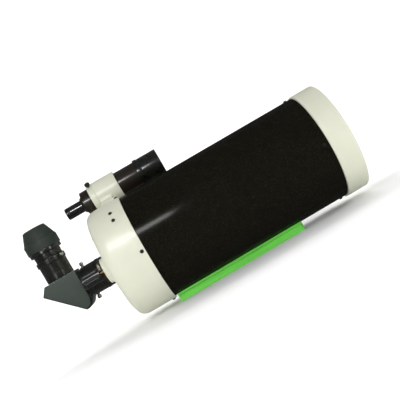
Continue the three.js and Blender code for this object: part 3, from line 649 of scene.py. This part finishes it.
def rear_end():
    """The rear casting, its focuser boss and bushing, and the screws on it."""
    screw_depth = 7  # how far a collimation screw goes into the casting
    back = ends("collimation_screw_1")[1] - screw_depth + GAP
    seam = ends("rear_casting")[1]
    radius = girth("rear_casting")
    face = ends("rear_casting")[0]
    inner, path = 99, 24.3
    rim = girth("tube") + GAP
    tube_rear = ends("tube")[0] - GAP
    turned("rear_casting", [
        (seam, rim), (seam, radius, 0.9), (back, radius, 22), (back, path, 1),
        (back + 10, path), (back + 10, inner - 14), (back + 24, inner), (tube_rear, inner),
        (tube_rear, rim)], CREAM, "ota", corner=0.5, facets=BIG_ROUND)
    boss = 24
    turned("focuser_boss", [
        (back + 1, 8), (back + 1, boss + 5.2, 0), (back, boss + 5, 0), (back - 3.4, boss, 3.6),
        (face, boss, 1.6), (face, 7.6, 0.5)], CREAM, "ota", FOCUS, corner=0.5)
    out, inside = ends("focus_bushing")
    turned("focus_bushing", [
        (out, 3.3), (out, 6), (out + 2.4, 6, 0.3), (out + 3.0, 5.4), (out + 3.6, 6, 0.3),
        (face - 3, 6), (face - 3, 9, 0.5), (face - GAP, 9), (face - GAP, 7), (inside, 7),
        (inside, 3.3)], BRASS, "ota", FOCUS, corner=0.4, facets=SMALL_ROUND)
    for number in "123":
        node = "collimation_screw_" + number
        at = middle(node)
        turned(node + "_ring", [(back - 0.9, 5.6), (back - 0.9, 6.6), (back + 0.4, 6.8),
                                (back + 0.4, 5.6)], CREAM, "ota",
               Vector((0, at.y, at.z)), facets=SMALL_ROUND)
        cap_screw(node, Vector((back - GAP, at.y, at.z)), -X, radius=5, height=3.2)


def radial_screws():
    """Dome screws that stand on the tube and the casting."""
    names = [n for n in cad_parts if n.startswith(("casting_screw_", "ring_screw_", "spare_screw_"))]
    for node in sorted(names):
        at = middle(node)
        outward = Vector((0, at.y - AXIS.y, at.z - AXIS.z)).normalized()
        on_tube = node.startswith("ring_screw_")
        seat = (girth("tube") if on_tube else girth("rear_casting")) + GAP
        dome_screw(node, AXIS + X * at.x + outward * seat, outward)


def inside_tube():
    """The primary mirror on its carrier, and the central baffle."""
    back, front = ends("primary_mirror")
    rim = girth("primary_mirror")
    curve = 950
    rise = curve - math.sqrt(curve ** 2 - rim ** 2)
    hole = 31
    face = [(front - rise + curve - math.sqrt(curve ** 2 - r ** 2), r)
            for r in [rim - 0.6 - k * (rim - hole - 1) / 20 for k in range(21)]]
    turned("primary_mirror", [
        (back, hole), (back, rim), (front - 0.8, rim), *face, (front - rise - 0.2, hole)],
        MIRROR, "mirror_cell", corner=0)
    low, high = ends("mirror_carrier")
    hub, bore, seat = 30.7, 22.3, back - GAP
    carrier = turned("mirror_carrier", [
        (low + 1, bore), (low + 1, hub, 1), (seat - 8, hub, 3), (seat - 8, 84, 2), (seat - 6, 88, 1),
        (seat, girth("mirror_carrier"), 1), (seat, hub, 0.3), (high, hub, 0.6), (high, bore)],
        INNER, "mirror_cell", corner=0.4)
    thread = 3.4
    cutter = [(low - 5, 0), (low - 5, thread), (high, thread), (high, 0)]
    cut_away(carrier, [spun_mesh("hole", cutter, False, TINY_ROUND, to_axis(FOCUS, X))])
    shade(carrier.data)
    turned("mirror_carrier_nut", [
        (low, thread), (low, 7, 0.6), (low + 12, 7, 0.3), (seat - 8, 9, 2), (seat - 4, 9),
        (seat - 4, thread)],
        STEEL, "mirror_cell", FOCUS, corner=0.4, facets=SMALL_ROUND)
    rear, mouth = ends("baffle_tube")
    outer, inner, flange = 22, 20.5, girth("baffle_tube")
    grooves = []
    x = mouth - 4
    while x > rear + 30:
        grooves += [(x, inner, 0), (x - 0.3, inner - 0.9, 0), (x - 0.9, inner, 0)]
        x -= 12
    turned("baffle_tube", [
        (rear, inner), (rear, flange), (rear + 3.5, flange), (rear + 3.5, outer), (mouth, outer),
        (mouth, inner), *grooves],
        INNER, "ota")


def dovetail():
    """The bar under the tube: a sloping foot, a groove, and a top hollowed to the tube's curve."""
    rear, front = ends("dovetail_bar")
    foot, neck, wing = 22, 18.6, girth("dovetail_bar", 1)
    bed = girth("tube") + GAP
    arc = [(y, AXIS.z - math.sqrt(bed ** 2 - y ** 2), 0)
           for y in (wing - 0.7 - k * (wing - 0.7) / 12 for k in range(25))]
    tip = AXIS.z - math.sqrt(bed ** 2 - wing ** 2)
    outline = soften([
        (-foot + 0.8, 0, 0.6), (foot - 0.8, 0, 0.6), (foot, 1.2, 0.6), (neck, 10.6, 0.8),
        (neck, 11.6, 0.8), (wing, 13.6, 0.8), (wing, tip, 0.5), *arc, (-wing, tip, 0.5),
        (-wing, 13.6, 0.8),
        (-neck, 11.6, 0.8), (-neck, 10.6, 0.8), (-foot, 1.2, 0.6)], 0, True, steps=4)
    flat = framed(-NEAR, X, UP, (0, 0, 0))
    bar = new_object("dovetail_bar", slab_mesh("bar", outline, rear, front, 0.7, flat), GREEN,
                     "ota")
    holes = []
    for node in ("dovetail_screw_front", "dovetail_screw_rear"):
        at = middle(node)
        low, high = ends(node, 2)
        hole = [(-3, 0), (-3, 6), (0.01, 5.9), (0.6, 5.3), (6, 5.3), (6, 0)]
        holes.append(spun_mesh("hole", hole, False, TINY_ROUND, to_axis((at.x, 0, 0), UP)))
        rings = [(high, 0), (high, 2.8), (high - 0.4, 3.0), (5.7, 3.0), (5.7, 4.7), (2.0, 4.7),
                 (low + 0.3, 4.65), (low, 4.3), (low, hexagon(2.5)), (3.0, hexagon(2.4)), (3.2, 0)]
        shaped(node, rings, STEEL, "ota", Vector((at.x, at.y, 0)), UP)
    cut_away(bar, holes)
    shade(bar.data)


# ---------- focuser and visual back ----------
BORE = 25.7  # inside each holder of a 2 inch barrel


def stadium_flutes(radius, count, depth, start, end, width, first):
    """A radius that dips into round-ended flutes between two values of x."""
    edge = 1.5  # the width of a flute's rounded edge, a third of it outside the flute
    def at(x, angle):
        pitch = 2 * math.pi / count
        across = ((angle - first + pitch / 2) % pitch - pitch / 2) * radius
        middle_x = min(max(x, start + width / 2), end - width / 2)
        distance = math.hypot(x - middle_x, across)
        blend = min(max((width / 2 + edge / 3 - distance) / edge, 0), 1)
        return radius - depth * blend * blend * (3 - 2 * blend)
    return at


def focus_knob():
    """The fluted knob and the threaded shaft that it turns."""
    rear, front = ends("focus_knob")
    radius = girth("focus_knob", 1)
    flute = stadium_flutes(radius, 8, 1.15, rear + 4.4, front - 3.2, 6.6, 3 * math.pi / 2)
    bore, bend, steps = 3.3, 3.2, 70
    rings = [(rear, 0), (rear, radius - 6), (rear + 0.1, radius - 4.2)]
    for k in range(1, 7):
        angle = k * math.pi / 12
        rings.append((rear + bend * (1 - math.cos(angle)), radius - bend * (1 - math.sin(angle))))
    for k in range(1, steps):
        x = rear + bend + (front - 1.6 - rear - bend) * k / steps
        rings.append((x, lambda a, x=x: flute(x, a)))
    rings += [(front - 1.4, radius), (front - 0.5, radius - 0.25), (front, radius - 1.0),
              (front, bore + 1.2), (front - 0.4, bore), (front - 11, bore), (front - 11, 0)]
    shaped("focus_knob", rings, PLASTIC, "focuser", FOCUS, facets=384)
    low, high = ends("focus_shaft")
    shaft = girth("focus_shaft")
    thread = []
    x = high - 1.2
    while x > high - 26:
        thread += [(x, shaft, 0), (x - 0.35, shaft - 0.3, 0), (x - 0.65, shaft - 0.3, 0)]
        x -= 1
    turned("focus_shaft", [
        (high, 0), (high, shaft - 0.7), *thread, (x, shaft), (low + 0.5, shaft),
        (low, shaft - 0.5), (low, 0)], STEEL, "focuser", FOCUS,
        corner=0.2, facets=TINY_ROUND)


def visual_back():
    """The adapter, its ring, the receiver and its two thumbscrews."""
    rear, front = ends("visual_back_adapter")
    flange = girth("visual_back_adapter")
    spigot = 27
    ring_rear, ring_front = ends("visual_back_ring")
    radius = girth("visual_back_receiver")
    turned("visual_back_adapter", [
        (rear, BORE), (rear, spigot), (ring_front + GAP, spigot), (ring_front + GAP, radius),
        *groove(front - 10, radius, 0.5, 0.5, 0.3), (front - 4, radius, 0.6),
        (front - 4, flange, 0.6), (front, flange), (front, BORE)],
        BLACK, "ota")
    grip = knurled(girth("visual_back_ring"), 120, 0.25)
    shaped("visual_back_ring", [
        (ring_rear, spigot + GAP), (ring_rear, radius), (ring_rear + 0.7, radius + 0.35),
        (ring_rear + 1.2, grip), (ring_front - 1.2, grip), (ring_front - 0.7, radius + 0.35),
        (ring_front, radius), (ring_front, spigot + GAP)],
        OLD_CHROME, "ota", facets=FINE_ROUND)
    rear, front = ends("visual_back_receiver")
    turned("visual_back_receiver", [
        (rear, BORE, 0.5), (rear, radius - 0.2, 0.9),
        *flat_groove(rear + 10.6, 1.8, radius, 0.45, 0.5, 0.25), (front, radius, 0.5),
        (front, spigot + GAP), (front - 5, spigot + GAP), (front - 5, BORE)],
        BLACK, "ota", corner=0.25)
    for side, direction in (("top", UP), ("bottom", -UP)):
        node = "visual_back_screw_" + side
        at = middle(node)
        seat = radius + 1.2
        base = AXIS + X * at.x + direction * seat
        thumb_screw(node, -2.9, base, direction, "back_screw_" + side, CHROME)
        turned("visual_back_boss_" + side, [(-1.6, 0), (-1.6, 3.6), (-0.25, 3.2), (-0.25, 0)],
               BLACK, "ota", base, direction, facets=TINY_ROUND)


# ---------- diagonal ----------
def side_outline(node):
    """The corners of a flat piece of the diagonal, read from its near face."""
    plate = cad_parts[node].data
    flat = min(v.co.y for v in plate.vertices)
    points = {(round(v.co.x / MM, 3), round(v.co.z / MM, 3))
              for v in plate.vertices if abs(v.co.y - flat) < 1e-6}
    centre = Vector((sum(p[0] for p in points), sum(p[1] for p in points))) / len(points)
    return sorted(points, key=lambda p: math.atan2(p[1] - centre.y, p[0] - centre.x))


def cut_away(piece, cutters):
    """Cuts closed shapes out of a piece, and applies the result."""
    for data in cutters:
        tool = in_scene("cutter", data)
        cut = piece.modifiers.new("cut", "BOOLEAN")
        cut.operation = "DIFFERENCE"
        cut.solver = "EXACT"
        cut.object = tool
        apply_modifiers(piece)
        bpy.data.objects.remove(tool)


def apply_modifiers(piece):
    """Replaces a piece's mesh by what its modifiers make of it."""
    bpy.context.view_layer.update()
    finished = bpy.data.meshes.new_from_object(
        piece.evaluated_get(bpy.context.evaluated_depsgraph_get()))
    old = piece.data
    piece.modifiers.clear()
    piece.data = finished
    bpy.data.meshes.remove(old)


def diagonal():
    """Two side plates, the body between them, and the mirror with its cover."""
    outline = side_outline("diagonal_side_plate_near")
    half = girth("diagonal_side_plate_near", 1) * 2
    near = ends("diagonal_side_plate_near", 1)[0]
    for side, low in (("near", near), ("far", -near - half)):
        data = slab_mesh("side", rounded_outline(outline, 2.2), low, low + half, 0.55)
        new_object("diagonal_side_plate_" + side, data, SLATE, "diagonal")

    # The body between the plates: a block with a web under its front, and a flared round collar.
    # Its corners are (x, z) from the fold of the light path.
    inside = -near - half - GAP
    corners = [(31.8, 31.2), (-30.7, 31.2), (-42.7, 15.5), (16, -43.2), (21.5, -43.4),
               (28.5, -40.4), (35.6, -31.6), (35.6, -20), (31.8, -20)]
    mirror_line = FOLD.x + FOLD.z + GAP * math.sqrt(2)
    block = clip_outline([(FOLD.x + x, FOLD.z + z) for x, z in corners], mirror_line)
    body = new_object("diagonal_housing",
                      slab_mesh("housing", rounded_outline(block, 1.2), -inside, inside, 0.4),
                      BLACK, "diagonal")
    high = ends("diagonal_housing")[1]
    path = 23
    bore = [(-50, 0), (-50, path), (60, path), (60, 0)]
    cut_away(body, [spun_mesh("bore", bore, False, 96, to_axis(FOLD, direction))
                    for direction in (X, UP)])
    shade(body.data)
    front_face = max(p[0] for p in outline)
    turned("diagonal_collar", [
        (front_face - 3, BORE), (front_face - 3, 26.6), (front_face + 0.35, 26.6),
        (front_face + 0.35, 29.3, 0.5), (high - 2.4, 27.2, 1.0), (high, 27.0, 0.4), (high, BORE)],
        BLACK, "diagonal")

    cover = side_outline("diagonal_mirror_cover")
    new_object("diagonal_mirror_cover",
               slab_mesh("cover", rounded_outline(cover, 1.2), -inside, inside, 0.6),
               BLACK, "diagonal")
    glass = soften([(-35, -25.5), (35, -25.5), (35, 25.5), (-35, 25.5)], 6, True)
    slope = framed((X - UP).normalized(), -(X + UP).normalized(), NEAR, FOLD)
    new_object("diagonal_mirror", slab_mesh("glass", glass, GAP, 9, 0.7, slope),
               MIRROR, "diagonal")


def clip_outline(outline, line):
    """The part of an outline in the XZ plane where x + z is not below a value."""
    kept = []
    for here, after in zip(outline, outline[1:] + outline[:1]):
        a = here[0] + here[1] - line
        b = after[0] + after[1] - line
        if a >= 0:
            kept.append(here)
        if (a >= 0) != (b >= 0):
            t = a / (a - b)
            kept.append((here[0] + (after[0] - here[0]) * t, here[1] + (after[1] - here[1]) * t))
    return kept


def nosepiece():
    """The chrome barrel that slides in the visual back."""
    rear, front = ends("diagonal_nosepiece")
    radius = girth("diagonal_nosepiece")
    turned("diagonal_nosepiece", [
        (rear, 22.5), (rear, radius), (rear + 20, radius, 1), (rear + 21, radius - 0.8, 1),
        (front - 16, radius - 0.8, 1), (front - 15, radius, 1), (front, radius, 1.2),
        (front, 24.0), (front - 3, 22.5)], CHROME, "nosepiece")


def eyepiece_holder():
    """The holder on top of the diagonal, with its collar and clamp screw."""
    low, high = (z - AXIS.z for z in ends("diagonal_eyepiece_holder", 2))
    collar = girth("diagonal_eyepiece_holder", 1)
    radius = collar - 2
    step = high - 9.5
    turned("diagonal_eyepiece_holder", [
        (low, 23), (low, radius - 0.6), (low + 1.2, radius),
        *groove(low + 12.5, radius, 0.45, 0.5, 0.3), (step, radius, 0.8), (step, collar, 0.7),
        *groove(step + 3.4, collar, 0.4, 0.4, 0.3), (high, collar, 0.8), (high, BORE, 0.5),
        (low + 10.5, BORE), (low + 10.5, 23)],
        BLACK, "diagonal", FOLD, UP)
    at = middle("diagonal_clamp_screw")
    outward = Vector((at.x - FOLD.x, at.y, 0)).normalized()
    seat = Vector((FOLD.x, 0, at.z)) + outward * (collar + 0.8)
    thumb_screw("diagonal_clamp_screw", -3.0, seat, outward, "diagonal_screw", CHROME,
                height=7.0)


# ---------- eyepiece ----------
def eyepiece():
    """The barrel, the body, its ring, the rubber eyecup and the two lenses."""
    def up(node):
        return tuple(z - AXIS.z for z in ends(node, 2))
    low, high = up("eyepiece_barrel")
    radius = girth("eyepiece_barrel", 1)
    turned("eyepiece_barrel", [
        (low, 23.5, 0.4), (low, radius, 0.8), (low + 8, radius, 0.8), (low + 9, radius - 0.9, 0.8),
        (high - 15, radius - 0.9, 0.8), (high - 14, radius, 0.8), (high - 9.3, radius),
        (high - 9.3, 24), (high, 24), (high, 22), (low + 12.5, 22), (low + 12.5, 23.5)],
        CHROME, "eyepiece", FOLD, UP)
    low, high = up("eyepiece_body")
    radius = girth("eyepiece_body", 1)
    shoulder = up("eyepiece_ring")[0] - GAP
    turned("eyepiece_body", [
        (low, 24.3), (low, radius - 0.3, 0.6), *flat_groove(low + 4.2, 1.6, radius, 0.5),
        (shoulder, radius, 0.6),
        (shoulder, 20), (high, 20), (high, 15.6), (high - 8, 15.6), (high - 8, 13.5),
        (low + 9.3, 13.5), (low + 9.3, 24.3)],
        BLACK, "eyepiece", FOLD, UP)
    low, high = up("eyepiece_ring")
    radius = girth("eyepiece_ring", 1)
    turned("eyepiece_ring", [(low, 20.3), (low, radius, 0.7), (high, radius, 0.7), (high, 20.3)],
           GLOSS, "eyepiece", FOLD, UP, corner=0.2)
    low, high = up("eyepiece_eyecup")
    radius = girth("eyepiece_eyecup", 1)
    turned("eyepiece_eyecup", [
        (low, 20.3), (low, radius - 0.8, 0.5), (low + 1.2, radius, 0.8), (low + 19.2, radius, 0.6),
        (low + 20.2, radius - 1.9, 0.4), (low + 21.4, radius - 2.0, 0.5), (high - 4.5, 24.0, 3),
        (high, 21.9, 1.6), (high, 19.4, 1.0), (high - 2.5, 18.3, 1.5), (high - 9.4, 17, 0.6),
        (high - 9.7, 20.3)],
        RUBBER, "eyepiece", FOLD, UP, corner=0.5)
    low, high = up("eyepiece_eye_lens")
    shaped("eyepiece_eye_lens", lens_faces(low, 60, high, -60, rim=15.3, steps=12), GLASS, "eyepiece",
           FOLD, UP)
    turned("eyepiece_lens_ring", [(high - 1.6, 14.2), (high - 1.6, 15.4), (high + 0.8, 15.5),
                                  (high + 0.8, 13.6), (high, 13.4)],
           BLACK, "eyepiece", FOLD, UP, corner=0.2, facets=SMALL_ROUND)
    low, high = up("eyepiece_field_lens")
    shaped("eyepiece_field_lens", lens_faces(low, 90, high, -90, rim=23.2, steps=12), GLASS, "eyepiece",
           FOLD, UP)


# ---------- finder ----------
FINDER_BORE = 27.4  # inside the bracket
FINDER_WALL = 1.8


def finder_mount():
    """The shoe on the casting, and the bracket with its dovetail foot, plunger and clamp screw."""
    rear, front = ends("finder_shoe")
    half, floor, top = 22, 112.5, 121
    key_floor, key_top, side = 16.2, 13.5, 0.3
    bed = girth("rear_casting") + GAP
    leaning = framed(ACROSS, X, LEAN, AXIS)
    arc = [(y, math.sqrt(bed ** 2 - y ** 2), 0) for y in (half - k * half / 10 for k in range(21))]
    channel = soften([
        *arc[::-1], (half, top, 1.6), (key_top + side, top, 0.7), (key_floor + side, floor, 0.4),
        (-key_floor - side, floor, 0.4), (-key_top - side, top, 0.7), (-half, top, 1.6)],
        0, True, steps=4)
    new_object("finder_shoe", slab_mesh("shoe", channel, rear, front, 0.35, leaning), CREAM,
               "ota")
    key = soften([
        (-key_floor, floor + GAP, 0.6), (key_floor, floor + GAP, 0.6), (key_top, top + 0.6, 0.3),
        (-key_top, top + 0.6, 0.3)], 0, True, steps=4)
    new_object("finder_bracket_key", slab_mesh("key", key, rear, front, 0.4, leaning), CREAM,
               "finder_mount")

    # The neck widens into the sleeve, and its top lies inside the sleeve's wall.
    away = (FINDER - AXIS).length
    neck_half, in_wall = 19, 28.9
    cradle = [(in_wall * math.sin(a), away - in_wall * math.cos(a), 0)
              for a in (math.radians(46 - 4.6 * k) for k in range(21))]
    neck = soften([
        (-neck_half, top + 0.5, 0.5), (neck_half, top + 0.5, 0.5), (neck_half, away - 26, 5),
        (22.6, away - 19.4, 0), *cradle, (-22.6, away - 19.4, 0), (-neck_half, away - 26, 5)],
        0, True, steps=8)
    new_object("finder_bracket_neck", slab_mesh("neck", neck, rear + 4, front - 7.5, 1.2, leaning),
               CREAM, "finder_mount")
    rear, front = ends("finder_bracket")
    radius = FINDER_BORE + 3
    turned("finder_bracket", [
        (rear, FINDER_BORE, 0.4), (rear, radius - 2.1, 0.8), (rear + 10.8, radius - 1.2, 1.6),
        (rear + 13.6, radius, 1.6), (front, radius, 1.4), (front, FINDER_BORE, 0.4)],
        CREAM, "finder_mount", FINDER, facets=192)

    on_axis = FINDER + X * middle("finder_plunger").x
    turned("finder_plunger", [
        (FINDER_BORE + 0.2, 0), (FINDER_BORE + 0.2, 1.8), (FINDER_BORE + 1.2, 3), (30, 3),
        (30, 4.4, 0.3), (31.6, 4.4, 0.5), (31.6, 1.6, 0.2), (30.9, 1.4, 0.2), (30.9, 0)],
        STEEL, "finder_mount", on_axis, -LEAN, corner=0.2,
        facets=TINY_ROUND)
    clamp_height = 116.5
    along = X * middle("shoe_clamp_screw").x
    clamp = AXIS + along + ACROSS * (half + GAP) + LEAN * clamp_height
    thumb_screw("shoe_clamp_screw", -5.4, clamp, ACROSS, "shoe_screw", STEEL,
                head=4.2, shank=1.6, height=7)


def finder_scope():
    """The finder's tube, its rubber ring, the rear cell and the eyepiece."""
    rear, front = ends("finder_tube")
    radius = girth("finder_tube")
    inner = radius - FINDER_WALL
    turned("finder_tube", [
        (rear, inner), (rear, radius), (front, radius), (front, inner)],
        FINDER_PAINT, "finder_scope", FINDER, corner=0.4)
    low, high = ends("finder_o_ring")
    turned("finder_o_ring", [
        (low, radius + GAP), (low, FINDER_BORE - GAP), (high, FINDER_BORE - GAP),
        (high, radius + GAP)], RUBBER, "finder_pivot", FINDER, corner=0.7)
    low, high = ends("finder_rear_cell")
    wide = girth("finder_rear_cell")
    nose_bore = 12.5
    face = low + 5.4
    turned("finder_rear_cell", [
        (low, nose_bore, 0.3), (low, 14.6, 0.6), (face - 1.8, 17, 1), (face, 19, 0.8),
        (face, wide, 1.0), *groove(face + 2.6, wide, 0.4, 0.4), *groove(rear - 2.6, wide, 0.4, 0.4),
        (rear - GAP, wide, 0.4), (rear - GAP, inner - GAP), (high, inner - GAP), (high, 20),
        (rear - 4, 20), (rear - 4, nose_bore)],
        FINDER_PAINT, "finder_scope", FINDER)
    low, high = ends("finder_eyepiece")
    wide = girth("finder_eyepiece")
    bore = 10.2
    turned("finder_eyepiece", [
        (low, bore, 0.4), (low, wide - 0.2, 0.9), (low + 3.4, wide, 0.2),
        (low + 3.8, wide - 0.4, 0.1), (low + 4.4, wide - 0.4, 0.1), (low + 4.8, wide, 0.2),
        (high, wide), (high, bore)],
        GLOSS, "finder_scope", FINDER, facets=96)
    low, high = ends("finder_eye_lens")
    shaped("finder_eye_lens", lens_faces(low, 34, high, -34, rim=bore - 0.5, steps=10), GLASS,
           "finder_scope", FINDER)


def finder_front():
    """The front cell: a collar, the objective's seat and the dew shield."""
    low, high = ends("finder_dew_shield")
    collar = girth("finder_dew_shield")
    shield = collar - 1.2
    inner = girth("finder_tube") - FINDER_WALL
    seam = ends("finder_tube")[1] + GAP
    seat, seat_front, seat_rear = 23, high - 27.6, high - 35.6
    baffles = []
    x = high - 5
    while x > seat_front + 3:
        baffles += [(x, shield - 1.8, 0.1), (x - 0.7, shield - 2.1, 0.1)]
        x -= 2
    turned("finder_dew_shield", [
        (low, inner - 2), (low, inner - GAP), (seam, inner - GAP), (seam, collar, 0.5),
        (seam + 7.4, collar, 0.5), (seam + 8, shield, 0.3),
        *flat_groove(seam + 10, 1.6, shield, 0.4), (high - 2.4, shield, 0.2),
        (high - 2, shield - 0.3, 0.2), (high - 1.4, shield, 0.2),
        (high, shield, 0.6), (high, shield - 1.6, 0.5), *baffles, (seat_front, shield - 2),
        (seat_front, seat), (seat_rear, seat), (seat_rear, inner - 2)],
        BLACK, "finder_front", FINDER)
    turned("finder_objective_ring", [
        (seat_front + GAP, seat - 0.8), (seat_front + GAP, shield - 2.3),
        (seat_front + 2.4, shield - 2.3), (seat_front + 2.4, seat - 0.8)],
        BLACK, "finder_front", FINDER, corner=0.4)
    low, high = ends("finder_objective")
    shaped("finder_objective", lens_faces(low, 150, high, -150, rim=seat - 0.5, steps=14), GLASS,
           "finder_front", FINDER, facets=ROUND)


def finder_screws():
    """The two adjusting screws, each on its own slide."""
    seat = 31
    tip = girth("finder_tube") + GAP
    lean = math.radians(60)  # to each side of the line from the tube to the finder
    for side, sign in (("left", -1), ("right", 1)):
        node = "finder_screw_" + side
        outward = LEAN * math.cos(lean) + ACROSS * (math.sin(lean) * sign)
        origin = FINDER + X * middle(node).x + outward * seat
        thumb_screw(node, tip - seat, origin, outward, "finder_adjuster_" + side, PLASTIC,
                    head=5.3, height=7.6)


camera()
studio(stage())
optical_tube()
front_end()
rear_end()
radial_screws()
inside_tube()
dovetail()
focus_knob()
visual_back()
diagonal()
nosepiece()
eyepiece_holder()
eyepiece()
finder_mount()
finder_scope()
finder_front()
finder_screws()
